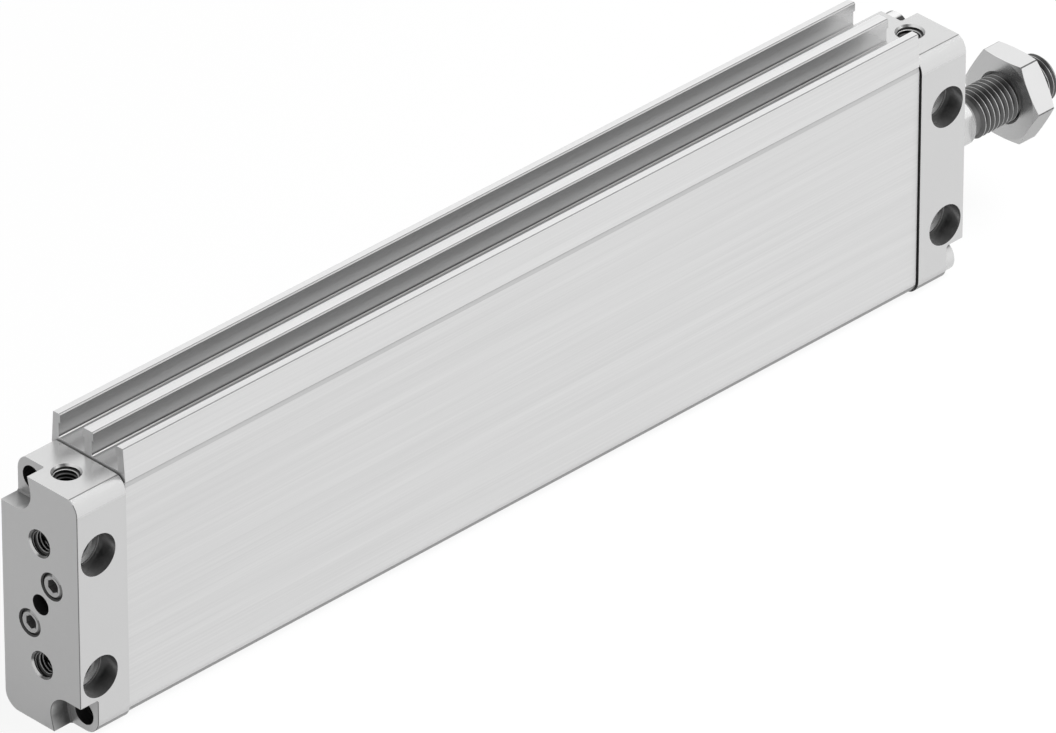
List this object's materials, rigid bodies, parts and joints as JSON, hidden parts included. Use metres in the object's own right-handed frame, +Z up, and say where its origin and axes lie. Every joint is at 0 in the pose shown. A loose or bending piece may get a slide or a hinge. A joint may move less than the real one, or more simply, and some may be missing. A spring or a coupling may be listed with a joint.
{
  "type": "flat pneumatic cylinder",
  "caption": "Flat double-acting pneumatic cylinder: ribbed barrel with sensor slots between two end caps, and a sliding rod with a threaded end and lock nut.",
  "frame": {"origin": "on the rod axis in the rear cap's outer face, midway between its two threaded holes", "axes": "+X along the rod, out of the front cap; +Y across the narrow width; +Z up to the sensor slots"},
  "size_m": [0.26, 0.02, 0.0576],
  "materials": {
    "barrel_aluminium": "brushed",
    "cap_aluminium": "satin",
    "piston_aluminium": "machined",
    "rod_steel": "polished",
    "nut_steel": "zinc plated",
    "screw_steel": "zinc plated",
    "bush_bronze": "sintered",
    "seal_rubber": "matte",
    "buffer_rubber": "matte",
    "guide_plastic": "matte",
    "magnet": "matte"
  },
  "bodies": {
    "cylinder": {"barrel": "barrel_aluminium", "rear_cap": "cap_aluminium", "front_cap": "cap_aluminium", "rear_cap_seal": "seal_rubber", "front_cap_seal": "seal_rubber", "rear_buffer": "buffer_rubber", "front_buffer": "buffer_rubber", "tie_screws": "screw_steel", "set_screws": "screw_steel", "rod_bush": "bush_bronze", "rod_seal": "seal_rubber", "rod_wiper": "seal_rubber"},
    "rod": {"piston_rod": "rod_steel", "piston_rear_half": "piston_aluminium", "piston_front_half": "piston_aluminium", "piston_magnets": "magnet", "piston_guide_band": "guide_plastic", "piston_rear_seal": "seal_rubber", "piston_front_seal": "seal_rubber", "piston_stem_ring": "seal_rubber", "piston_washer": "screw_steel", "piston_nut": "screw_steel"},
    "nut": {"lock_nut": "nut_steel"}
  },
  "joints": [
    {"name": "rod_slide", "type": "slide", "parent": "cylinder", "child": "rod", "axis": [1, 0, 0], "range_m": [0, 0.16]},
    {"name": "nut_turn", "type": "hinge", "parent": "rod", "child": "nut", "pos_m": [0.2513, 0, 0], "axis": [1, 0, 0], "continuous": true}
  ]
}
